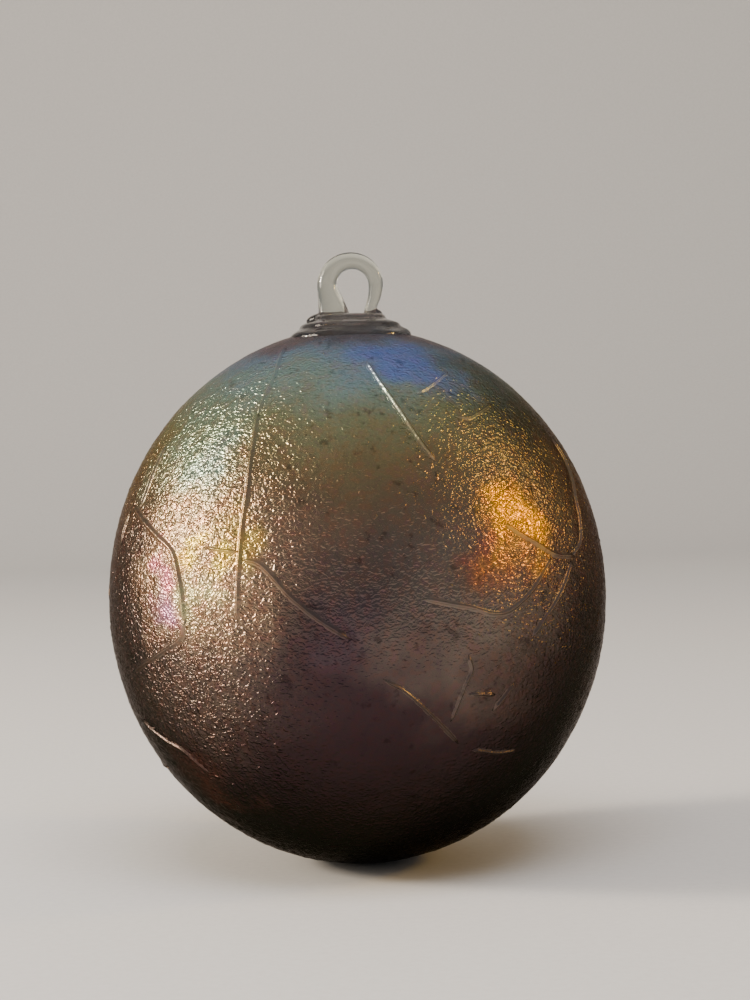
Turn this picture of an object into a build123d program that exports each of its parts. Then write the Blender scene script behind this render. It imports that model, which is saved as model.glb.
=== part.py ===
from build123d import *
import math
import os

# A mouth-blown glass ball ornament. The ball is a sealed, thin-walled bubble, a little taller than it
# is wide. The hole left by the blowpipe is closed by a pad of clear glass, and a clear rod drawn up
# from that pad is bent over into a hanging loop. Fine glass threads are laid on the hot ball and lie
# half melted into its skin.
#
# Frame: millimetres, +Z up, the loop in the XZ plane, the front towards -Y. The origin is where a
# hook bears when the ornament hangs: on the ball's axis, at the underside of the loop's crown.

# ---- Ball ----
BALL_RADIUS = 44.5          # half the widest width
BALL_CENTRE_Z = -58.8       # height of the widest ring
UPPER_HALF = 48.3           # widest ring to crown
LOWER_HALF = 47.6           # widest ring to lowest point
WALL = 1.8
PIPE_HOLE_RADIUS = 4.5
PIPE_HOLE_LIP = 0.5         # fire-polished edge
CROWN_Z = BALL_CENTRE_Z + UPPER_HALF
OUTLINE_STEP = 5            # degrees between the points of the ball's outline

# ---- Pad that seals the pipe hole ----
PAD_RADIUS = 11.1
PAD_TOP_Z = -7.85           # the flat foot that the loop stands on
PAD_FLAT_RADIUS = 5.9
PAD_RIM_Z = -12.4           # under the ball's skin, where the pad's outline is trimmed to it
PLUG_DEPTH = 1.4            # how far the pad sags into the pipe hole

# ---- Hanging loop: a drawn rod, thick where it leaves the pad and thin where it is pressed back ----
ARCH_CENTRE = (0.55, -2.84)
ARCH_RADIUS = 4.38

# ---- Threads ----
FINE, PLAIN, STOUT = 0.34, 0.46, 0.62   # radii of the round threads before they sink in
THREAD_SINK = 0.15          # a thread's middle lies this far under the ball's skin
THREAD_CLEARANCE = 0.02     # between a thread's underside and the skin
THREAD_STEP = 2.5           # most length between two sections of a thread
LEAST_SECTIONS = 5
ROUTE_MARKS = 40            # points between which a thread's length is added up
NUDGE = 0.001               # share of a thread's length over which its direction is taken
END_TAPER = 2.2             # a thread melts down to its end over this length
END_SHARE = 0.45            # of full size that is left at the very end


def on_ball(bearing, height):
    """The point of the ball's skin at a bearing from the front, towards +X, and a height angle."""
    half = UPPER_HALF if height >= 0 else LOWER_HALF
    ring = BALL_RADIUS * math.cos(math.radians(height))
    turn = math.radians(bearing)
    rise = half * math.sin(math.radians(height))
    return Vector(ring * math.sin(turn), -ring * math.cos(turn), BALL_CENTRE_Z + rise)


def out_of_ball(point):
    """The direction straight out of the ball's skin at a point of it."""
    rise = point.Z - BALL_CENTRE_Z
    half = UPPER_HALF if rise >= 0 else LOWER_HALF
    slope = rise * (BALL_RADIUS / half) ** 2
    return Vector(point.X, point.Y, slope).normalized()


def half_outline(inset=0.0):
    """Half of the ball's upright section, inside its skin or inside a skin that much smaller."""
    lowest = (0, BALL_CENTRE_Z - LOWER_HALF + inset)
    highest = (0, CROWN_Z - inset)
    steps = range(-90 + OUTLINE_STEP, 90, OUTLINE_STEP)
    side = []
    for step in steps:
        angle = math.radians(step)
        half = (UPPER_HALF if step >= 0 else LOWER_HALF) - inset
        side.append(((BALL_RADIUS - inset) * math.cos(angle), BALL_CENTRE_Z + half * math.sin(angle)))
    skin = Spline(lowest, *side, highest, tangents=((1, 0), (-1, 0)))
    return make_face([skin, Line(highest, lowest)])


def wall_section():
    """The section of the blown wall, open at the pipe hole, whose edge is rounded by the flame."""
    hole = Pos(0, CROWN_Z) * Rectangle(2 * PIPE_HOLE_RADIUS, 6 * WALL)
    wall = half_outline() - half_outline(WALL) - hole
    lip = wall.vertices().group_by(Axis.Y)[-1] + wall.vertices().group_by(Axis.Y)[-2]
    return fillet(lip, PIPE_HOLE_LIP)


def turned(section):
    """A section drawn with its axis upright, turned about the ball's axis."""
    return revolve(Plane.XZ * section, Axis.Z)


def pad_section():
    """The pad's section: a flat foot, a shallow groove and a shoulder, over the skin and the plug."""
    skin = Spline(
        (PAD_FLAT_RADIUS, PAD_TOP_Z),
        (PAD_FLAT_RADIUS + 0.9, PAD_TOP_Z - 0.7),
        (PAD_FLAT_RADIUS + 2.0, PAD_TOP_Z - 1.15),
        (PAD_RADIUS - 1.9, PAD_TOP_Z - 2.0),
        (PAD_RADIUS - 0.7, PAD_TOP_Z - 3.2),
        (PAD_RADIUS, PAD_RIM_Z),
        tangents=((1, -0.35), (0.25, -1)),
    )
    below = PAD_RIM_Z - WALL
    rest = Polyline(
        (PAD_RADIUS, PAD_RIM_Z), (PAD_RADIUS, below), (0, below), (0, PAD_TOP_Z), (PAD_FLAT_RADIUS, PAD_TOP_Z)
    )
    plug_side = PIPE_HOLE_RADIUS + PIPE_HOLE_LIP
    plug_bottom = CROWN_Z - PLUG_DEPTH
    plug = Polyline(
        (0, PAD_TOP_Z), (plug_side, PAD_TOP_Z), (plug_side, plug_bottom), (0, plug_bottom), (0, PAD_TOP_Z)
    )
    return make_face([skin, rest]) - half_outline() + make_face(plug) - wall_section()


def loop():
    """The drawn rod. Each station is its middle, its half width across the front and its half depth."""
    arch_x, arch_z = ARCH_CENTRE
    left, right = arch_x - ARCH_RADIUS, arch_x + ARCH_RADIUS
    slant = ARCH_RADIUS * math.sin(math.radians(45))
    stations = [
        (-2.85, PAD_TOP_Z, 2.72, 2.1),
        (-3.2, -6.3, 2.3, 1.9),
        (left + 0.15, -4.2, 1.9, 1.75),
        (left, arch_z, 1.75, 1.7),
        (arch_x - slant, arch_z + slant, 1.65, 1.6),
        (arch_x, arch_z + ARCH_RADIUS, 1.54, 1.5),
        (arch_x + slant, arch_z + slant, 1.42, 1.4),
        (right, arch_z, 1.29, 1.3),
        (right - 0.2, -5.1, 1.14, 1.2),
        (right - 0.75, -7.1, 1.05, 1.15),
        (right - 0.95, PAD_TOP_Z, 1.3, 1.35),
    ]
    path = Spline([(x, 0, z) for x, z, _, _ in stations], tangents=((0, 0, 1), (0, 0, -1)))
    sections = []
    for x, z, width, depth in stations:
        along = path.tangent_at((x, 0, z))
        square_on = Plane(origin=(x, 0, z), x_dir=(0, 1, 0), z_dir=along)
        sections.append(square_on * Ellipse(depth, width))
    return loft(sections)


def thread_section(radius):
    """What stands out of the skin of a round thread that has sunk in a little."""
    height = radius - THREAD_SINK
    width = math.sqrt(radius**2 - THREAD_SINK**2)
    crown = ThreePointArc((-width, 0), (0, height), (width, 0))
    return make_face([crown, Line((width, 0), (-width, 0))])


def thread(radius, corners):
    """A glass thread on the ball: its corners are points of a smooth curve drawn in angles."""
    route = Spline(corners) if len(corners) > 2 else Line(*corners)

    def place(share):
        angles = route @ min(max(share, 0), 1)
        return on_ball(angles.X, angles.Y)

    marks = [place(i / ROUTE_MARKS) for i in range(ROUTE_MARKS + 1)]
    length = sum((end - start).length for start, end in zip(marks, marks[1:]))
    count = max(LEAST_SECTIONS, math.ceil(length / THREAD_STEP) + 1)
    sections = []
    for i in range(count):
        share = i / (count - 1)
        to_end = min(share, 1 - share) * length
        size = END_SHARE + (1 - END_SHARE) * min(1, to_end / END_TAPER)
        point = place(share)
        outward = out_of_ball(point)
        across = outward.cross(place(share + NUDGE) - place(share - NUDGE))
        upright = Plane(
            origin=point + outward * THREAD_CLEARANCE, x_dir=across, z_dir=across.cross(outward)
        )
        sections.append(upright * scale(thread_section(radius), size))
    return loft(sections)


# Each thread is its radius and its corners, as bearing and height angle in degrees.
FRONT_THREADS = [
    (PLAIN, [(-29, 43), (-27.5, 37), (-26, 27), (-26, 18), (-26, 1)]),
    (FINE, [(-41, 67), (-32, 57), (-29.5, 45)]),
    (PLAIN, [(-63.5, 35), (-62.5, 29), (-62.5, 23)]),
    (STOUT, [(-65.5, 21.8), (-53.5, 17.3), (-44.5, 13), (-41, 6), (-40, 0.7)]),
    (PLAIN, [(-40, -0.7), (-42, -4), (-50, -7.6), (-60.5, -11.5)]),
    (FINE, [(-69.5, 20), (-70.5, 15)]),
    (FINE, [(-33.5, 14.1), (-27.3, 13.6)]),
    (PLAIN, [(-24.5, 11.9), (-20.5, 10.7), (-14, 4.8), (-9, 1), (-3, -2.8)]),
    (PLAIN, [(7.3, 58.8), (13, 46.4), (17.5, 36.5), (20, 32.3)]),
    (FINE, [(23.5, 49), (28.5, 50.8), (39, 54.7)]),
    (FINE, [(32.5, 41.5), (35.5, 41.2), (40, 42.4), (47.5, 44.4)]),
    (PLAIN, [(36, 16.8), (40, 14.6), (45, 12.2), (49.5, 10.2), (56, 9.5)]),
    (PLAIN, [(72, 34), (72, 28.5), (66.5, 20.7), (63.5, 14.5), (61, 11.5), (58, 10.2)]),
    (PLAIN, [(55, 7.7), (52, 4.7), (47.5, 0.7), (44, -2), (41, -4.7)]),
    (PLAIN, [(15, 3.4), (23.5, 1.6), (29, 0.1), (33, 0.1), (37.5, 2), (41.5, 4.6), (47, 9)]),
    (FINE, [(6, -12.3), (10, -14.6), (15.5, -19.5), (22.5, -26)]),
    (FINE, [(29, -29), (35.5, -30.3), (41.5, -30.5)]),
    (FINE, [(24, -8.9), (24.5, -11), (23.3, -14), (21, -20.5)]),
    (FINE, [(-67, -23.7), (-58, -26.9), (-51, -29), (-45.5, -33.4)]),
    (PLAIN, [(32, -19.2), (35.5, -15.4)]),
    (PLAIN, [(25.7, -16), (30, -16.4)]),
]
BACK_THREADS = [
    (FINE, [(95, 55), (105, 44), (112, 33)]),
    (PLAIN, [(100, 20), (112, 14), (124, 11), (133, 4)]),
    (PLAIN, [(92, -8), (101, -15), (113, -19)]),
    (FINE, [(128, 62), (140, 50), (146, 38)]),
    (STOUT, [(140, 27), (146, 15), (147, 2), (143, -9)]),
    (FINE, [(120, -30), (132, -33), (143, -31)]),
    (PLAIN, [(158, 12), (168, 18), (180, 20), (190, 17)]),
    (FINE, [(165, 48), (178, 40), (186, 30)]),
    (PLAIN, [(160, -14), (170, -22), (175, -33)]),
    (PLAIN, [(197, -3), (204, -14), (213, -22), (225, -25)]),
    (FINE, [(205, 35), (212, 22), (214, 9)]),
    (PLAIN, [(225, 52), (240, 45), (252, 36)]),
    (PLAIN, [(228, 10), (239, 4), (247, -6), (250, -16)]),
    (FINE, [(256, 18), (265, 11), (271, 2)]),
    (FINE, [(262, -30), (275, -36), (288, -36)]),
    (FINE, [(238, -48), (255, -55)]),
    (FINE, [(140, -52), (165, -58)]),
]


def write(name, shape):
    export_step(shape, f"parts/{name}.step")
    print(name, "volume", round(shape.volume, 2))


os.makedirs("parts", exist_ok=True)
write("ball_shell", turned(wall_section()))
write("hanger_pad", turned(pad_section()))
write("hanger_loop", loop())
for side, threads in (("front", FRONT_THREADS), ("back", BACK_THREADS)):
    for number, (radius, corners) in enumerate(threads, 1):
        write(f"thread_{side}_{number:02d}", thread(radius, corners))
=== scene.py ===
import math

import bpy
import numpy as np
from mathutils import Matrix, Vector, noise


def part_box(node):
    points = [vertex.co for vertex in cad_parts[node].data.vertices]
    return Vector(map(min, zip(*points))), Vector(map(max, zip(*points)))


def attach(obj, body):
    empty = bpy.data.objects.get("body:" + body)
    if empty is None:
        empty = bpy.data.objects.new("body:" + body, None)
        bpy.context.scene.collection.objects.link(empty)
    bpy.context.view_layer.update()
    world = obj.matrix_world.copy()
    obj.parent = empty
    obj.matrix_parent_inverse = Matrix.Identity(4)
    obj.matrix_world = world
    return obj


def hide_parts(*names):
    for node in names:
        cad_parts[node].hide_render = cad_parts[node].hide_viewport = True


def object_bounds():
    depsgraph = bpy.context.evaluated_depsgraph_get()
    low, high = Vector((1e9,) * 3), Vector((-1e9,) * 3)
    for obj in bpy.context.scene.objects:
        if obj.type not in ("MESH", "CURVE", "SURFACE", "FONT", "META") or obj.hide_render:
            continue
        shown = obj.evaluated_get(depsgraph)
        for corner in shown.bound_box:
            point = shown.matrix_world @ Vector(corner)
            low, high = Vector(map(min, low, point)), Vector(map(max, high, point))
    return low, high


# A mouth-blown glass ball ornament: a dark, fumed bubble with a finely wrinkled lustre skin, fine glass
# threads half melted into it, and a clear hanger: a pad that seals the pipe hole and a drawn rod loop.
# Everything is in metres in the frame of the solid model: +Z up, the front towards -Y.

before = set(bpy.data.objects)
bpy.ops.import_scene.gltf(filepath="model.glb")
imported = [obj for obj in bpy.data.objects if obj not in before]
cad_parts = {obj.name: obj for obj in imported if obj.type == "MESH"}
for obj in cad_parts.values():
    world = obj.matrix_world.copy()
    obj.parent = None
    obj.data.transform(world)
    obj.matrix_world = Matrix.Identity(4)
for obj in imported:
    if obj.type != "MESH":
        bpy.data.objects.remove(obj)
cad_low, cad_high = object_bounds()

MM = 0.001

# ---- Ball, as in the solid model ----
ball_low, ball_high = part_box("ball_shell")
BALL_RADIUS = (ball_high.x - ball_low.x) / 2
BALL_CENTRE_Z = -58.8 * MM      # where the ball is widest
UPPER_HALF = 48.3 * MM          # from there up to the crown
LOWER_HALF = BALL_CENTRE_Z - ball_low.z
CROWN_Z = BALL_CENTRE_Z + UPPER_HALF
PIPE_HOLE_RADIUS = 4.5 * MM
PLUG_DEPTH = 1.4 * MM           # how far the skin dips at the pipe hole, under the pad
PLUG_SLOPE = 1.6                # how steep the dip's side is: 1 would slope evenly to the axis
BALL_MESH_SIDE = 280     # quads along each of the mesh's six patches
MAP_GAP = 0.01                  # around each patch on the baking map, as a share of the patch

# ---- Skin relief: height and length of each kind of unevenness ----
DENT_HEIGHT, DENT_LENGTH = 0.10 * MM, 13 * MM           # from turning and blowing
RIPPLE_HEIGHT, RIPPLE_LENGTH = 0.05 * MM, 3.4 * MM      # from reheating
FOLD_HEIGHT, FOLD_LENGTH = 0.17 * MM, 1.2 * MM          # leathery, from the fuming
FOLD_MEAN = 0.25                # taken off the folds, so that they don't make the ball bigger
FOLD_LIE = (1.0, 1.0, 1.4)      # the folds lie along the girth: closer set upward than sideways
FOLD_SWAY, SWAY_LENGTH = 0.45 * MM, 2.5 * MM            # how far the creases wander, and how often
FOLD_DEPTH, DEPTH_CHANGE = 0.8, 0.5     # the folds' usual depth, and how much it comes and goes
CROWN_DEPTH = 0.3               # the depth left at the crown, which shrank least as it cooled
CROWN_GROWTH = 1.8              # how soon the folds reach their depth on the way down to the girth
FINE_FOLD_LENGTH = 1.0 * MM     # wrinkles that are too fine for the mesh
NOISE_SHIFT = 17.31             # keeps the noise of one seed clear of the next
# Where the skin wrinkled less or more than elsewhere: bearing, height angle, width in mm and how many
# times the usual depth is left.
SKIN_SPOTS = [
    (14, -24, 38, 0.35), (6, 6, 27, 0.55), (-36, -18, 26, 1.7), (38, 14, 24, 0.75),
    (120, 10, 28, 1.6), (190, -32, 38, 0.35), (230, 20, 24, 1.5),
]

# ---- Pad and loop ----
PAD_RADIUS = 11.1 * MM
PAD_TOP_Z = -7.85 * MM
PAD_UNDER_Z = -14.5 * MM
# The pad slumped unevenly. Each wave is how often it comes round the pad, its length down the pad, how
# far it moves the glass, and where it starts in the noise.
OUTWARD_WAVES = [(1.3, 2.5 * MM, 0.26 * MM, (0, 0)), (3.6, 1.2 * MM, 0.20 * MM, (0, 7))]
UPWARD_WAVE = (2.1, 1.8 * MM, 0.45 * MM, (5, 0))
ARCH_CENTRE = (0.55 * MM, -2.84 * MM)   # x and z
ARCH_RADIUS = 4.38 * MM
ARCH_HALF_WIDTHS = (1.78, 1.32)         # mm, of the rod, which was drawn thinner as it went over
ARCH_STEPS = 8
HANGER_VOXEL = 0.11 * MM
HANGER_MELTING = 18        # rounds of smoothing, so that the joins flow together

# ---- Threads: radii of the rods they were drawn to, before they sank in ----
FINE, PLAIN, STOUT = 0.34 * MM, 0.46 * MM, 0.62 * MM
RIDGE_HEIGHT, RIDGE_WIDTH = 0.85, 0.66  # of the ridge that is left, in radii of the rod
RIDGE_FALL = 1.2                # how fast the ridge falls away from its crest
RIDGE_REACH, BASE_REACH = 2.1, 1.9      # half widths of its foot and of its base, in ridge widths
RIDGE_SINK, BASE_DEPTH = 0.06 * MM, 0.3 * MM    # its foot and its base lie this deep in the skin
RIDGE_HALF_STEPS = 7
THREAD_LIFT = 0.05 * MM         # of the whole ridge, to clear the wrinkles
THREAD_STEP = 0.45              # degrees between the rings of a thread's mesh
THREAD_RUN_ON = 1.0 * MM        # how far the melted end runs past the solid model's
THREAD_END = 2.2                # the length over which an end rounds off, in radii
THREAD_TIP = 0.04               # the size left at the very tip
THREAD_SWELLS = [(0.22, 2.8 * MM), (0.12, 0.9 * MM)]    # by which share of its size, and how often
THREAD_WANDER, WANDER_LENGTH = 0.10 * MM, 4 * MM        # sideways, and how often
WANDER_START = Vector((9, 0, 0))        # in the noise, clear of the swells

# Each thread is its rod's radius, and the corners of its route as bearing and height angle in degrees.
FRONT_THREADS = [
    (PLAIN, [(-29, 43), (-27.5, 37), (-26, 27), (-26, 18), (-26, 1)]),
    (FINE, [(-41, 67), (-32, 57), (-29.5, 45)]),
    (PLAIN, [(-63.5, 35), (-62.5, 29), (-62.5, 23)]),
    (STOUT, [(-65.5, 21.8), (-53.5, 17.3), (-44.5, 13), (-41, 6), (-40, 0.7)]),
    (PLAIN, [(-40, -0.7), (-42, -4), (-50, -7.6), (-60.5, -11.5)]),
    (FINE, [(-69.5, 20), (-70.5, 15)]),
    (FINE, [(-33.5, 14.1), (-27.3, 13.6)]),
    (PLAIN, [(-24.5, 11.9), (-20.5, 10.7), (-14, 4.8), (-9, 1), (-3, -2.8)]),
    (PLAIN, [(7.3, 58.8), (13, 46.4), (17.5, 36.5), (20, 32.3)]),
    (FINE, [(23.5, 49), (28.5, 50.8), (39, 54.7)]),
    (FINE, [(32.5, 41.5), (35.5, 41.2), (40, 42.4), (47.5, 44.4)]),
    (PLAIN, [(36, 16.8), (40, 14.6), (45, 12.2), (49.5, 10.2), (56, 9.5)]),
    (PLAIN, [(72, 34), (72, 28.5), (66.5, 20.7), (63.5, 14.5), (61, 11.5), (58, 10.2)]),
    (PLAIN, [(55, 7.7), (52, 4.7), (47.5, 0.7), (44, -2), (41, -4.7)]),
    (PLAIN, [(15, 3.4), (23.5, 1.6), (29, 0.1), (33, 0.1), (37.5, 2), (41.5, 4.6), (47, 9)]),
    (FINE, [(6, -12.3), (10, -14.6), (15.5, -19.5), (22.5, -26)]),
    (FINE, [(29, -29), (35.5, -30.3), (41.5, -30.5)]),
    (FINE, [(24, -8.9), (24.5, -11), (23.3, -14), (21, -20.5)]),
    (FINE, [(-67, -23.7), (-58, -26.9), (-51, -29), (-45.5, -33.4)]),
    (PLAIN, [(32, -19.2), (35.5, -15.4)]),
    (PLAIN, [(25.7, -16), (30, -16.4)]),
]
BACK_THREADS = [
    (FINE, [(95, 55), (105, 44), (112, 33)]),
    (PLAIN, [(100, 20), (112, 14), (124, 11), (133, 4)]),
    (PLAIN, [(92, -8), (101, -15), (113, -19)]),
    (FINE, [(128, 62), (140, 50), (146, 38)]),
    (STOUT, [(140, 27), (146, 15), (147, 2), (143, -9)]),
    (FINE, [(120, -30), (132, -33), (143, -31)]),
    (PLAIN, [(158, 12), (168, 18), (180, 20), (190, 17)]),
    (FINE, [(165, 48), (178, 40), (186, 30)]),
    (PLAIN, [(160, -14), (170, -22), (175, -33)]),
    (PLAIN, [(197, -3), (204, -14), (213, -22), (225, -25)]),
    (FINE, [(205, 35), (212, 22), (214, 9)]),
    (PLAIN, [(225, 52), (240, 45), (252, 36)]),
    (PLAIN, [(228, 10), (239, 4), (247, -6), (250, -16)]),
    (FINE, [(256, 18), (265, 11), (271, 2)]),
    (FINE, [(262, -30), (275, -36), (288, -36)]),
    (FINE, [(238, -48), (255, -55)]),
    (FINE, [(140, -52), (165, -58)]),
]

# ---- The lustre film ----
# Bands of film colour, by their share of the way from foot to crown. Their hues are the film's; their
# darkening towards the foot is painted shade.
BANDS = [
    (0.00, "151113"), (0.15, "1e191c"), (0.28, "2c2427"), (0.40, "3b3234"), (0.50, "4f4443"),
    (0.60, "6a5b53"), (0.70, "7d6953"), (0.78, "8d7c5b"), (0.84, "979572"), (0.90, "9cafa7"),
    (0.94, "95a9be"), (0.97, "8a8a98"), (1.00, "8d8388"),
]
BAND_DRIFT, DRIFT_LENGTH = 0.11, 24 * MM        # how far up and down the bands drift, and how often
# Clouds of film laid over the bands, and among them a few patches of painted light and painted shade:
# bearing, height angle, width in mm, strength and colour.
FILM_AND_LIGHT_PATCHES = [
    (24, 3, 25, 0.5, "867a70"), (-38, -8, 24, 0.3, "8a7668"), (-47, 36, 17, 0.7, "93a58e"),
    # (62, 44) is painted shade: it darkens the right shoulder.
    (62, 44, 22, 0.65, "3c383e"), (-38, 12, 21, 0.6, "c4a07c"), (-42, 33, 8, 0.5, "90a8a0"),
    (-36, 15, 5, 0.8, "dcc040"), (-27, 16, 6, 0.6, "c8a848"), (-47, 10, 5, 0.8, "dc7c98"),
    (-45, 2, 6, 0.6, "cc88b4"), (-38, 5, 6, 0.5, "ccc890"), (-12, 16, 13, 0.5, "927460"),
    (36, 13, 15, 0.4, "8a5c36"), (38, 17, 9, 0.95, "e8a800"), (29, 13, 5, 0.4, "a85c50"),
    # (26, 60) is blue film brightened into a painted highlight high on the front right.
    (35, 8, 6, 0.35, "b07050"), (35, -15, 14, 0.45, "4a3c38"), (26, 60, 12, 0.75, "7e94e4"),
    # (0, 90) is painted light: a pale patch on the crown, where the clear pad keeps the lamps' light off
    # the skin.
    (-3, 0, 9, 0.2, "54465a"), (-47, -40, 12, 0.5, "5c3c34"), (0, 90, 12, 0.9, "b5aaae"),
    (120, 22, 18, 0.7, "c4987c"), (150, -6, 12, 0.6, "94683a"), (175, 38, 13, 0.7, "8fa89c"),
    (205, 14, 16, 0.6, "c0908c"), (238, 30, 11, 0.7, "5a6cb4"), (262, -4, 13, 0.6, "a8803c"),
]
PATCH_CORE = 0.15               # the share of a patch's width that has its full strength
PATCH_STIR, STIR_LENGTH = 10 * MM, 9 * MM       # how far the patches' edges were dragged, and how often
FLECK_COLOURS = [
    (0.32, "8a8a9e"), (0.42, "98b49c"), (0.50, "a8a8a8"), (0.58, "c0a880"), (0.68, "c498a8"),
]
FLECK_STRENGTH, FLECK_LENGTH = 0.32, 1.7 * MM
# Specks of dust caught in the film are a few tenths of a millimetre wide. They are drawn coarser, at
# about a millimetre, so that they aren't lost.
DUST_LENGTH = 2.4 * MM
DUST_EDGE, DUST_CORE = 0.60, 0.70       # noise at which a speck starts, and is darkest
DUST_SHADE = 0.62               # the share of the film's brightness left there
PAINTED_SHEEN_FILM = "cdbba6"          # painted sheen: a paler film for the raised threads, so that they read as lit
FILM_THICKNESS = 410.0          # nm
FILM_IOR = 1.9                  # tin oxide

# ---- Clear glass ----
CORD_HEIGHT, CORD_LENGTH = 0.12 * MM, 3 * MM    # soft streaks, from folding the gathers together

# ---- Camera and studio ----
CAMERA_DISTANCE = 0.40
CAMERA_ELEVATION = math.radians(5)
CAMERA_ROLL = math.radians(1.7)
CAMERA_AIM = Vector((3.64 * MM, 0, -41.45 * MM))
FRAME_HEIGHT = 180.4 * MM       # seen by the camera at the ball's distance
SENSOR = 36.0                   # mm
WORLD_COLOUR, WORLD_STRENGTH = "e6e8ec", 0.42
PAPER_COLOURS, PAPER_MOTTLE_LENGTH = [(0.3, "d3d0cb"), (0.7, "d8d5d0")], 1.5 * MM
# Lamps: name, direction from the ball, distance, width and height in metres, watts, colour, shape, and
# whether highlights show it. One that they don't show only brightens.
LAMPS = [
    ("window_left", (-0.96, -0.05, 0.35), 0.9, 0.13, 0.17, 9.0, "fff0dc", "RECTANGLE", True),
    ("curtain_left", (-0.96, -0.08, 0.36), 1.0, 0.52, 0.62, 7.5, "fff0dc", "ELLIPSE", True),
    ("lamp_right", (0.90, -0.06, 0.42), 0.8, 0.08, 0.10, 1.3, "ffcc50", "RECTANGLE", True),
    ("shade_right", (0.90, -0.10, 0.40), 0.9, 0.32, 0.34, 0.9, "ffd098", "ELLIPSE", True),
    ("overhead", (0.05, -0.45, 0.90), 0.9, 0.70, 0.50, 7.0, "f4f6ff", "RECTANGLE", False),
]


# ======== The ball's shape ========

def on_ball(bearing, height):
    """The point of the ball's skin at a bearing from the front, towards +X, and a height angle."""
    half = UPPER_HALF if height >= 0 else LOWER_HALF
    ring = BALL_RADIUS * math.cos(math.radians(height))
    turn = math.radians(bearing)
    rise = half * math.sin(math.radians(height))
    return Vector((ring * math.sin(turn), -ring * math.cos(turn), BALL_CENTRE_Z + rise))


def out_of_ball(point):
    """The direction straight out of the ball's skin at a point of it."""
    rise = point.z - BALL_CENTRE_Z
    half = UPPER_HALF if rise >= 0 else LOWER_HALF
    return Vector((point.x, point.y, rise * (BALL_RADIUS / half) ** 2)).normalized()


# ======== Shader nodes ========

def linear(hex_colour):
    """An sRGB hex colour as linear RGBA."""
    channels = [int(hex_colour[i:i + 2], 16) / 255 for i in (0, 2, 4)]
    straight = [c / 12.92 if c <= 0.04045 else ((c + 0.055) / 1.055) ** 2.4 for c in channels]
    return (*straight, 1.0)


def add(tree, kind, inputs=None, stops=None, **settings):
    """Adds a node. An input is given a value or another node's output, and a ramp its colour stops."""
    node = tree.nodes.new("ShaderNode" + kind)
    for name, value in settings.items():
        setattr(node, name, value)
    for name, value in (inputs or {}).items():
        if isinstance(value, bpy.types.NodeSocket):
            tree.links.new(value, node.inputs[name])
        else:
            node.inputs[name].default_value = value
    if stops:
        points = node.color_ramp.elements
        while len(points) < len(stops):
            points.new(1.0)
        for point, (place, colour) in zip(points, stops):
            point.position = place
            point.color = linear(colour)
    return node


def new_material(name):
    """An empty node material and its tree."""
    material = bpy.data.materials.new(name)
    material.use_nodes = True
    material.node_tree.nodes.clear()
    return material, material.node_tree


def film_bands_and_painted_shade(tree, where):
    """The film's colours from the ball's foot to its crown, darkening towards the foot as painted shade,
    drifting a few millimetres up and down.
    """
    height = add(tree, "SeparateXYZ", {"Vector": where}).outputs["Z"]
    rise = add(tree, "MapRange", {
        "Value": height, "From Min": BALL_CENTRE_Z - LOWER_HALF, "From Max": CROWN_Z,
    }).outputs["Result"]
    clouds = add(tree, "TexNoise", {
        "Vector": where, "Scale": 1 / DRIFT_LENGTH, "Detail": 3.0, "Roughness": 0.55,
    }).outputs["Fac"]
    drift = add(tree, "MapRange", {
        "Value": clouds, "To Min": -BAND_DRIFT, "To Max": BAND_DRIFT,
    }).outputs["Result"]
    film = add(tree, "Math", {0: rise, 1: drift}, operation="ADD").outputs[0]
    return add(tree, "ValToRGB", {"Fac": film}, stops=BANDS).outputs["Color"]


def stirred(tree, where):
    """Each point shoved aside a little, which frays the edges of what is drawn there."""
    stir = add(tree, "TexNoise", {
        "Vector": where, "Scale": 1 / STIR_LENGTH, "Detail": 4.0,
    }).outputs["Color"]
    shove = add(tree, "MapRange", {
        "Vector": stir, "To Min": (-PATCH_STIR,) * 3, "To Max": (PATCH_STIR,) * 3,
    }, data_type="FLOAT_VECTOR").outputs["Vector"]
    return add(tree, "VectorMath", {0: where, 1: shove}, operation="ADD").outputs["Vector"]


def film_and_light_patch(tree, where, colour, patch):
    """Lays one patch over the colour so far: mostly a cloud of film; a few patches are painted light and
    painted shade.
    """
    bearing, height, width, strength, tint = patch
    away = add(tree, "VectorMath", {0: where, 1: on_ball(bearing, height)}, operation="DISTANCE")
    weight = add(tree, "MapRange", {
        "Value": away.outputs["Value"], "From Min": PATCH_CORE * width * MM, "From Max": width * MM,
        "To Min": strength, "To Max": 0.0,
    }, interpolation_type="SMOOTHSTEP").outputs["Result"]
    return add(tree, "MixRGB", {"Fac": weight, "Color1": colour, "Color2": linear(tint)}).outputs["Color"]


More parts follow.
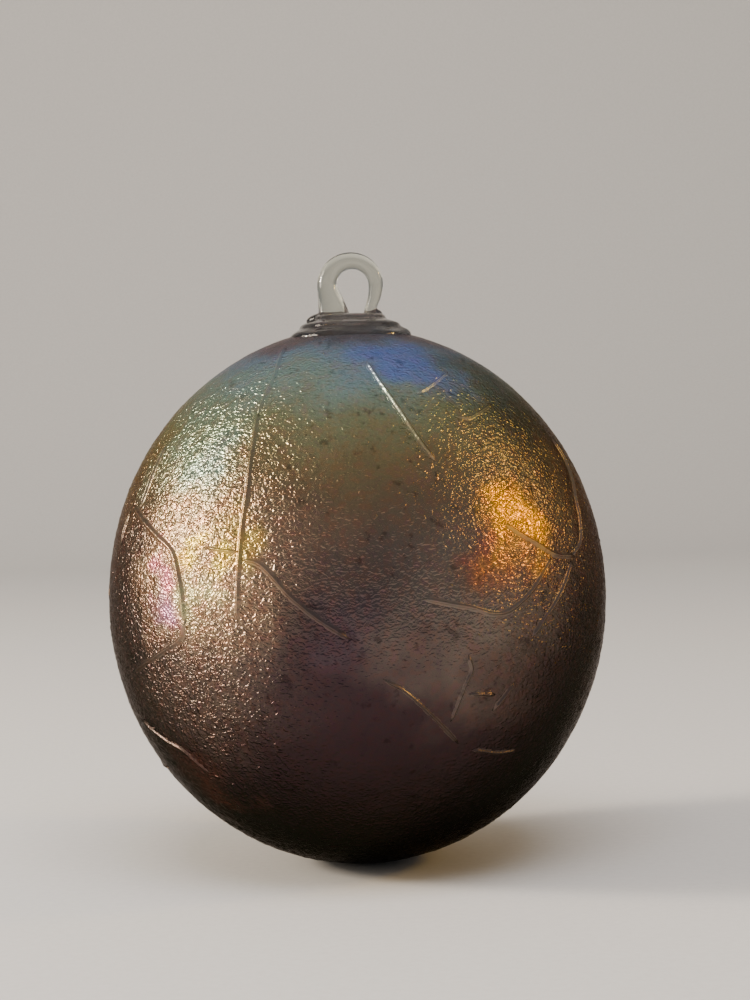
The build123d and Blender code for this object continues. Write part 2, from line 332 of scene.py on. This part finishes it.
def film_colour(tree, where, flecks, painted_sheen):
    """The film's bands, darkening towards the foot as painted shade, its clouds and patches of painted
    light and shade, flecks and specks, and how far a painted sheen pales it.
    """
    colour = film_bands_and_painted_shade(tree, where)
    frayed = stirred(tree, where)
    for patch in FILM_AND_LIGHT_PATCHES:
        colour = film_and_light_patch(tree, frayed, colour, patch)
    # The film's thickness also changes from fold to fold, which flecks it with other colours.
    fleck_colour = add(tree, "ValToRGB", {"Fac": flecks}, stops=FLECK_COLOURS).outputs["Color"]
    flecked = add(tree, "MixRGB", {
        "Fac": FLECK_STRENGTH, "Color1": colour, "Color2": fleck_colour,
    }, blend_type="OVERLAY").outputs["Color"]
    dust = add(tree, "TexNoise", {
        "Vector": where, "Scale": 1 / DUST_LENGTH, "Detail": 3.0, "Roughness": 0.6,
    }).outputs["Fac"]
    shade = add(tree, "MapRange", {
        "Value": dust, "From Min": DUST_EDGE, "From Max": DUST_CORE, "To Min": 1.0, "To Max": DUST_SHADE,
    }, interpolation_type="SMOOTHSTEP").outputs["Result"]
    specked = add(tree, "VectorMath", {0: flecked, "Scale": shade}, operation="SCALE").outputs["Vector"]
    # Painted sheen: the colour paled towards a lighter film, so that raised glass reads as lit.
    return add(tree, "MixRGB", {
        "Fac": painted_sheen, "Color1": specked, "Color2": linear(PAINTED_SHEEN_FILM),
    }).outputs["Color"]


def fine_folds(tree, where):
    """Wrinkles finer than the mesh holds: rounded folds under a millimetre wide with sharp creases."""
    lain = add(tree, "VectorMath", {0: where, 1: FOLD_LIE}, operation="MULTIPLY").outputs["Vector"]
    swell = add(tree, "TexNoise", {
        "Vector": lain, "Scale": 1 / FINE_FOLD_LENGTH, "Detail": 1.5, "Roughness": 0.5, "Distortion": 0.2,
    }).outputs["Fac"]
    centred = add(tree, "Math", {0: swell, 1: 0.5}, operation="SUBTRACT").outputs[0]
    folds = add(tree, "Math", {0: centred}, operation="ABSOLUTE").outputs[0]
    for bearing, height, width, share in SKIN_SPOTS:
        away = add(tree, "VectorMath", {0: where, 1: on_ball(bearing, height)}, operation="DISTANCE")
        depth = add(tree, "MapRange", {
            "Value": away.outputs["Value"], "From Max": width * MM, "To Min": share, "To Max": 1.0,
        }, interpolation_type="SMOOTHSTEP").outputs["Result"]
        folds = add(tree, "Math", {0: folds, 1: depth}, operation="MULTIPLY").outputs[0]
    return folds


def fumed_lustre_glass(name, wrinkle, roughness, painted_sheen):
    """Dark soda glass fumed with tin and silver salts while hot. The fume leaves a thin oxide film that
    shows interference colours over a dark, half-metallic ground: blue and green at the crown, where it
    is thinnest, then gold and mauve; the bands also darken towards the foot as painted shade. Its pull
    wrinkles the soft skin like leather, so that every lamp breaks up into a field of sparks. The wrinkle
    is the fine folds' depth, the roughness goes from where the film is thin to where it is thick, and the
    painted sheen pales the film so that raised glass reads as lit."""
    material, tree = new_material(name)
    where = add(tree, "TexCoord").outputs["Object"]
    flecks = add(tree, "TexNoise", {
        "Vector": where, "Scale": 1 / FLECK_LENGTH, "Detail": 2.0, "Roughness": 0.6,
    }).outputs["Fac"]
    bump = add(tree, "Bump", {
        "Height": fine_folds(tree, where), "Distance": wrinkle, "Strength": 1.0,
    }).outputs["Normal"]
    thin, thick = roughness
    rough = add(tree, "MapRange", {"Value": flecks, "To Min": thin, "To Max": thick}).outputs["Result"]
    shader = add(tree, "BsdfPrincipled", {
        "Base Color": film_colour(tree, where, flecks, painted_sheen), "Metallic": 0.85, "Roughness": rough,
        "IOR": 1.55, "Normal": bump, "Specular Tint": linear("8a7c7a"),
        "Thin Film Thickness": FILM_THICKNESS, "Thin Film IOR": FILM_IOR,
    })
    add(tree, "OutputMaterial", {"Surface": shader.outputs["BSDF"]})
    return material


def clear_soda_glass(name):
    """Clear soda-lime glass worked in the flame: fire polished, faintly grey-green in the thick, with
    soft cords where gathers of it were folded together."""
    material, tree = new_material(name)
    where = add(tree, "TexCoord").outputs["Object"]
    cords = add(tree, "TexNoise", {
        "Vector": where, "Scale": 1 / CORD_LENGTH, "Detail": 2.0, "Distortion": 0.4,
    }).outputs["Fac"]
    bump = add(tree, "Bump", {
        "Height": cords, "Distance": CORD_HEIGHT, "Strength": 0.5,
    }).outputs["Normal"]
    rough = add(tree, "MapRange", {"Value": cords, "To Min": 0.0, "To Max": 0.05}).outputs["Result"]
    shader = add(tree, "BsdfPrincipled", {
        "Base Color": linear("cfd2c8"), "Roughness": rough, "IOR": 1.52, "Transmission Weight": 1.0,
        "Normal": bump,
    })
    add(tree, "OutputMaterial", {"Surface": shader.outputs["BSDF"]})
    return material


def backdrop_paper():
    """Seamless studio paper: matt, with the faint mottle that pulp gives uncoated stock. Its fibres are
    too fine to draw, so the mottle is drawn coarser."""
    material, tree = new_material("backdrop_paper")
    where = add(tree, "TexCoord").outputs["Object"]
    mottle = add(tree, "TexNoise", {
        "Vector": where, "Scale": 1 / PAPER_MOTTLE_LENGTH, "Detail": 3.0,
    }).outputs["Fac"]
    colour = add(tree, "ValToRGB", {"Fac": mottle}, stops=PAPER_COLOURS).outputs["Color"]
    shader = add(tree, "BsdfPrincipled", {"Base Color": colour, "Roughness": 0.9})
    add(tree, "OutputMaterial", {"Surface": shader.outputs["BSDF"]})
    return material


# ======== Meshes ========

def mesh_object(name, points, faces, material):
    """A smooth-shaded object from points and faces."""
    mesh = bpy.data.meshes.new(name)
    mesh.from_pydata([tuple(p) for p in points], [], faces)
    mesh.materials.append(material)
    mesh.polygons.foreach_set("use_smooth", [True] * len(mesh.polygons))
    piece = bpy.data.objects.new(name, mesh)
    bpy.context.collection.objects.link(piece)
    return piece


def noise_at(points, length, seed):
    """Smooth noise, about -1 to 1, at each point, with that length from hump to hump."""
    shifted = points / length + seed * NOISE_SHIFT
    return np.array([noise.noise(p) for p in shifted.tolist()])


def cube_patches(side):
    """A ball's mesh as six square patches: the points' directions from its middle, the quads, and each
    quad corner's place on the baking map."""
    across, up = np.meshgrid(np.arange(side + 1), np.arange(side + 1), indexing="ij")
    across, up = across.ravel(), up.ravel()
    flat, far = np.zeros_like(across), np.full_like(across, side)
    patches = [
        (far, across, up), (flat, up, across), (up, far, across),
        (across, flat, up), (across, up, far), (up, across, flat),
    ]
    lattice = np.concatenate([np.stack(patch, 1) for patch in patches])
    points, number = np.unique(lattice, axis=0, return_inverse=True)
    number = number.ravel()
    step = side + 1
    corner = (np.arange(side)[:, None] * step + np.arange(side)[None, :]).ravel()
    quad = np.stack([corner, corner + step, corner + step + 1, corner + 1], 1)
    quads = np.concatenate([number[quad + patch * step * step] for patch in range(6)])
    place = np.stack([across, up], 1)[quad] / side
    map_places = np.concatenate([
        (np.array([patch % 3, patch // 3]) + MAP_GAP + (1 - 2 * MAP_GAP) * place) / np.array([3, 2])
        for patch in range(6)
    ])
    evenly = np.tan((points / side * 2 - 1) * math.pi / 4)
    directions = evenly / np.linalg.norm(evenly, axis=1)[:, None]
    return directions, quads, map_places


def slow_relief(points):
    """The slow unevenness that blowing leaves, which the threads lie over too."""
    dents = noise_at(points, DENT_LENGTH, seed=1) * DENT_HEIGHT
    return dents + noise_at(points, RIPPLE_LENGTH, seed=2) * RIPPLE_HEIGHT


def wrinkle_relief(points):
    """Rounded folds with sharp creases between them, deeper in some places than in others."""
    sway = np.stack([noise_at(points, SWAY_LENGTH, seed) for seed in (5, 6, 7)], 1) * FOLD_SWAY
    folds = (np.abs(noise_at((points + sway) * FOLD_LIE, FOLD_LENGTH, seed=3)) - FOLD_MEAN) * FOLD_HEIGHT
    depth = FOLD_DEPTH + DEPTH_CHANGE * noise_at(points, DENT_LENGTH, seed=4)
    for bearing, height, width, share in SKIN_SPOTS:
        away = np.linalg.norm(points - np.array(on_ball(bearing, height)), axis=1)
        depth *= share + (1 - share) * np.clip(away / (width * MM), 0, 1)
    below_crown = (CROWN_Z - points[:, 2]) / UPPER_HALF
    return folds * depth * np.clip(below_crown * CROWN_GROWTH, CROWN_DEPTH, 1)


def lustre_ball(material):
    """The blown bubble. Its skin dips under the pad, where the pipe hole is."""
    directions, quads, map_places = cube_patches(BALL_MESH_SIDE)
    halves = np.where(directions[:, 2] >= 0, UPPER_HALF, LOWER_HALF)
    sizes = np.stack([np.full_like(halves, BALL_RADIUS), np.full_like(halves, BALL_RADIUS), halves], 1)
    points = directions * sizes + np.array([0, 0, BALL_CENTRE_Z])
    outward = directions / sizes
    outward /= np.linalg.norm(outward, axis=1)[:, None]
    relief = slow_relief(points) + wrinkle_relief(points)
    points = points + outward * relief[:, None]
    off_axis = np.hypot(points[:, 0], points[:, 1])
    over_hole = np.clip(PLUG_SLOPE - off_axis / PIPE_HOLE_RADIUS * PLUG_SLOPE, 0, 1)
    dip = over_hole * (points[:, 2] > BALL_CENTRE_Z)
    points[:, 2] -= PLUG_DEPTH * dip * dip * (3 - 2 * dip)
    ball = mesh_object("lustre_ball", points, quads.tolist(), material)
    bake_map = ball.data.uv_layers.new(name="OFBake")
    bake_map.uv.foreach_set("vector", map_places.astype(np.float32).ravel())
    return ball


def through(corners, step):
    """Points a step apart along the smooth curve through the corners (a Catmull-Rom curve)."""
    first = 2 * corners[0] - corners[1]
    last = 2 * corners[-1] - corners[-2]
    held = [first, *corners, last]
    points = []
    for before, start, end, after in zip(held, held[1:], held[2:], held[3:]):
        count = max(2, round((end - start).length / step))
        for i in range(count):
            t = i / count
            points.append(0.5 * (
                2 * start + (end - before) * t + (2 * before - 5 * start + 4 * end - after) * t ** 2
                + (3 * start - before - 3 * end + after) * t ** 3
            ))
    return [*points, corners[-1]]


def ring_stack(rings):
    """Closed mesh data from rings of equal count, each a list of points, capped at both ends."""
    count = len(rings[0])
    points = [point for ring in rings for point in ring]
    faces = []
    for ring in range(len(rings) - 1):
        for i in range(count):
            a, b = ring * count + i, ring * count + (i + 1) % count
            faces.append((a, b, b + count, a + count))
    faces.append(tuple(range(count - 1, -1, -1)))
    faces.append(tuple((len(rings) - 1) * count + i for i in range(count)))
    return points, faces


def thread_route(corners):
    """Points along a thread's middle, on the ball's skin, with its melted ends run on a little."""
    angles = through([Vector(corner) for corner in corners], THREAD_STEP)
    points = [on_ball(*angle) for angle in angles]
    lifts = slow_relief(np.array(points))
    points = [point + out_of_ball(point) * (lift + THREAD_LIFT) for point, lift in zip(points, lifts)]
    for end, beside in ((0, 1), (-1, -2)):
        points[end] = points[end] + (points[end] - points[beside]).normalized() * THREAD_RUN_ON
    return points


def ridge_section(radius):
    """A melted-in thread's section, as pairs of sideways and outward: a soft ridge over a flat base."""
    height = RIDGE_HEIGHT * radius
    width = RIDGE_WIDTH * radius
    crest = []
    for i in range(2 * RIDGE_HALF_STEPS + 1):
        aside = (i / RIDGE_HALF_STEPS - 1) * RIDGE_REACH * width
        crest.append((aside, height * math.exp(-RIDGE_FALL * (aside / width) ** 2) - RIDGE_SINK))
    return [*crest, (BASE_REACH * width, -BASE_DEPTH), (-BASE_REACH * width, -BASE_DEPTH)]


def thread_fullness(point, radius, to_end):
    """How full a thread is at a point of it: drawn uneven by hand, and rounded off at its ends."""
    roundness = math.sqrt(max(0.0, 1 - (1 - min(1.0, to_end / (THREAD_END * radius))) ** 2))
    swell = 1
    for share, length in THREAD_SWELLS:
        swell += share * noise.noise(point / length)
    return max(THREAD_TIP, roundness) * swell


def melted_thread(name, radius, corners, material):
    """One strand of glass, sunk into the skin as a soft ridge."""
    route = thread_route(corners)
    away = [0.0]
    for before, here in zip(route, route[1:]):
        away.append(away[-1] + (here - before).length)
    section = ridge_section(radius)
    rings = []
    for i, (point, gone) in enumerate(zip(route, away)):
        along = route[min(i + 1, len(route) - 1)] - route[max(i - 1, 0)]
        outward = out_of_ball(point)
        aside = along.cross(outward).normalized()
        size = thread_fullness(point, radius, min(gone, away[-1] - gone))
        middle = point + aside * noise.noise(point / WANDER_LENGTH + WANDER_START) * THREAD_WANDER
        rings.append([middle + aside * x * size + outward * (y * size) for x, y in section])
    return mesh_object(name, *ring_stack(rings), material)


def rod(stations, around=32, step=0.25 * MM):
    """A rod in the XZ plane. Each station is its middle, its half width across the front and its half
    depth, in millimetres."""
    smooth = through([Vector((x, z, width, depth)) * MM for x, z, width, depth in stations], step)
    rings = []
    for i, here in enumerate(smooth):
        ahead, behind = smooth[min(i + 1, len(smooth) - 1)], smooth[max(i - 1, 0)]
        along = Vector((ahead[0] - behind[0], 0, ahead[1] - behind[1])).normalized()
        across = Vector((along.z, 0, -along.x))
        middle = Vector((here[0], 0, here[1]))
        ring = []
        for k in range(around):
            turn = 2 * math.pi * k / around
            deep = Vector((0, here[3] * math.sin(turn), 0))
            ring.append(middle + across * here[2] * math.cos(turn) + deep)
        rings.append(ring)
    return ring_stack(rings)


def pad_wave(heading, up, wave):
    """How far one of the pad's waves moves its glass at a heading and a height."""
    times_round, length, size, start = wave
    return noise.noise(heading * times_round + Vector((*start, up / length))) * size


def pad_lathe(around=192):
    """The pad: a low cone in three slumped steps from the loop's flat seat down to the ball. Its edges
    wander, as hot glass does when it is pressed down."""
    outline = [
        (5.0, -7.95), (5.8, -8.05), (6.35, -8.35), (6.65, -8.9), (7.5, -9.25), (8.4, -9.6), (8.8, -9.95),
        (9.05, -10.45), (9.7, -10.85), (10.4, -11.2), (10.9, -11.65), (11.1, -12.3), (11.1, -12.9),
    ]
    profile = through([Vector(corner) * MM for corner in outline], 0.12 * MM)
    rings = []
    for out, up in profile:
        ring = []
        share = min(1.0, out / PAD_RADIUS) ** 2
        for k in range(around):
            turn = 2 * math.pi * k / around
            heading = Vector((math.cos(turn), math.sin(turn), 0))
            slack = sum(pad_wave(heading, up, wave) for wave in OUTWARD_WAVES)
            lift = pad_wave(heading, up, UPWARD_WAVE)
            ring.append(heading * (out + slack * share) + Vector((0, 0, up + lift * share)))
        rings.append(ring)
    # A tiny ring closes the seat's middle, where the loop stands.
    tiny = 0.02
    centre_top = [Vector((point.x * tiny, point.y * tiny, PAD_TOP_Z)) for point in rings[0]]
    under = [Vector((point.x, point.y, PAD_UNDER_Z)) for point in rings[-1]]
    return ring_stack([centre_top, *rings, under])


def hanger_loop():
    """The loop: a rod bent into an arch. Its first foot fans out with a soft rib along the inner edge and
    a lump at its base; the other end is drawn thin and finishes in a small pressed blob."""
    arch_x, arch_z = ARCH_CENTRE[0] / MM, ARCH_CENTRE[1] / MM
    arch = ARCH_RADIUS / MM
    right = arch_x + arch
    bends = []
    thick, thin = ARCH_HALF_WIDTHS
    for i in range(ARCH_STEPS + 1):
        turn = math.pi * (1 - i / ARCH_STEPS)
        half = thick + (thin - thick) * i / ARCH_STEPS
        bends.append((arch_x + arch * math.cos(turn), arch_z + arch * math.sin(turn), half, half))
    first_foot = [(-2.65, -9.3, 2.9, 2.0), (-2.8, -7.85, 2.75, 1.9), (-3.3, -5.3, 2.22, 1.8)]
    last_foot = [(right - 0.3, -4.9, 1.16, 1.2), (right - 0.85, -6.5, 1.05, 1.15),
                 (right - 1.05, -7.5, 1.2, 1.25), (right - 1.1, -9.0, 1.2, 1.3)]
    rib = [(-3.3, -2.2, 0.4, 1.2), (-2.85, -3.5, 0.5, 1.62), (-1.95, -5.3, 0.6, 1.62),
           (-1.3, -6.7, 0.65, 1.6), (-0.85, -7.9, 0.7, 1.6), (-0.8, -9.2, 0.8, 1.7)]
    lump = [(-7.6, -9.3, 0.4, 0.8), (-6.8, -8.95, 0.75, 1.6), (-5.6, -8.55, 0.85, 2.1),
            (-4.0, -8.5, 0.9, 2.2), (-2.5, -8.7, 0.8, 1.8)]
    blob = [(3.1, -8.2, 0.5, 0.5), (3.6, -8.1, 0.95, 1.2), (4.6, -8.15, 1.0, 1.5), (5.4, -8.4, 0.9, 1.2),
            (5.9, -8.6, 0.4, 0.6)]
    return [rod([*first_foot, *bends, *last_foot]), rod(rib), rod(lump), rod(blob)]


def clear_hanger(material):
    """Pad and loop are worked hot into one mass of clear glass, so they are merged and smoothed."""
    points, faces = [], []
    for part_points, part_faces in [pad_lathe(), *hanger_loop()]:
        start = len(points)
        points += part_points
        faces += [tuple(start + i for i in face) for face in part_faces]
    rough = mesh_object("hanger_rough", points, faces, material)
    merge = rough.modifiers.new("merge", "REMESH")
    merge.mode = "VOXEL"
    merge.voxel_size = HANGER_VOXEL
    merge.use_smooth_shade = True
    melt = rough.modifiers.new("melt", "SMOOTH")
    melt.factor = 0.5
    melt.iterations = HANGER_MELTING
    bpy.context.view_layer.update()
    merged = bpy.data.meshes.new_from_object(rough.evaluated_get(bpy.context.evaluated_depsgraph_get()))
    merged.name = "clear_hanger"
    hanger = bpy.data.objects.new("clear_hanger", merged)
    bpy.context.collection.objects.link(hanger)
    bpy.data.objects.remove(rough)
    return hanger


# ======== Studio ========

def paper_sweep():
    """A paper floor that the ball stands on, curving up behind it. Sizes are in metres."""
    front, back, bend, wall, half_width = -1.2, 0.75, 0.45, 1.6, 2.2
    steps = 24
    outline = [(front, 0.0), (back, 0.0)]
    for i in range(1, steps + 1):
        turn = math.radians(90 * i / steps)
        outline.append((back + bend * math.sin(turn), bend * (1 - math.cos(turn))))
    outline.append((back + bend, wall))
    points = [Vector((side * half_width, y, cad_low.z + z)) for y, z in outline for side in (-1, 1)]
    faces = [(2 * i, 2 * i + 1, 2 * i + 3, 2 * i + 2) for i in range(len(outline) - 1)]
    sweep = mesh_object("paper_sweep", points, faces, backdrop_paper())


def softbox(name, direction, distance, width, height, power, colour, shape, mirrored):
    """A soft lamp that faces the ball from a direction."""
    light = bpy.data.lights.new(name, "AREA")
    light.shape = shape
    light.size, light.size_y = width, height
    light.energy = power
    light.color = linear(colour)[:3]
    lamp = bpy.data.objects.new(name, light)
    towards = Vector(direction).normalized()
    lamp.location = Vector((0, 0, BALL_CENTRE_Z)) + towards * distance
    lamp.rotation_euler = towards.to_track_quat("Z", "Y").to_euler()
    lamp.visible_glossy = mirrored
    bpy.context.collection.objects.link(lamp)


def studio_light():
    """An even, dim room, and the lamps that the glass mirrors."""
    world = bpy.data.worlds.new("studio")
    world.use_nodes = True
    world.node_tree.nodes["Background"].inputs["Color"].default_value = linear(WORLD_COLOUR)
    world.node_tree.nodes["Background"].inputs["Strength"].default_value = WORLD_STRENGTH
    bpy.context.scene.world = world
    for lamp in LAMPS:
        softbox(*lamp)


def camera():
    """Looks at the ball's front from a little above it, rolled because the ball hangs a little askew."""
    lens = bpy.data.cameras.new("camera")
    lens.sensor_width = SENSOR
    lens.lens = SENSOR * CAMERA_DISTANCE / FRAME_HEIGHT
    lens.clip_start = CAMERA_DISTANCE / 40      # so that close views cut nothing off
    seen = bpy.data.objects.new("camera", lens)
    ball = Vector((0, 0, BALL_CENTRE_Z))
    back = Vector((0, -math.cos(CAMERA_ELEVATION), math.sin(CAMERA_ELEVATION)))
    seen.location = ball + back * CAMERA_DISTANCE
    look = (seen.location - CAMERA_AIM).to_track_quat("Z", "Y")
    seen.rotation_euler = (look.to_matrix() @ Matrix.Rotation(-CAMERA_ROLL, 3, "Z")).to_euler()
    bpy.context.collection.objects.link(seen)
    bpy.context.scene.camera = seen


# ======== The ornament ========

def ride_root(piece, slot, *nodes):
    """A piece of the fused glass: it moves with the one body and stands for those CAD nodes."""
    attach(piece, "root")
    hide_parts(*nodes)


camera()
studio_light()
paper_sweep()

# The raised threads wrinkled less than the skin and are duller; a painted sheen pales their film so that
# they read as lit.
lustre_skin = fumed_lustre_glass(
    "fumed_lustre_skin", wrinkle=0.58 * MM, roughness=(0.31, 0.16), painted_sheen=0.0,
)
lustre_thread = fumed_lustre_glass(
    "fumed_lustre_thread", wrinkle=0.2 * MM, roughness=(0.36, 0.24), painted_sheen=0.06,
)
clear_glass = clear_soda_glass("clear_soda_glass")

ride_root(lustre_ball(lustre_skin), "lustre_glass", "ball_shell")
for side, threads in (("front", FRONT_THREADS), ("back", BACK_THREADS)):
    for number, (radius, corners) in enumerate(threads, 1):
        node = f"thread_{side}_{number:02d}"
        ride_root(melted_thread("melted_" + node, radius, corners, lustre_thread), "thread_glass", node)
ride_root(clear_hanger(clear_glass), "clear_glass", "hanger_pad", "hanger_loop")
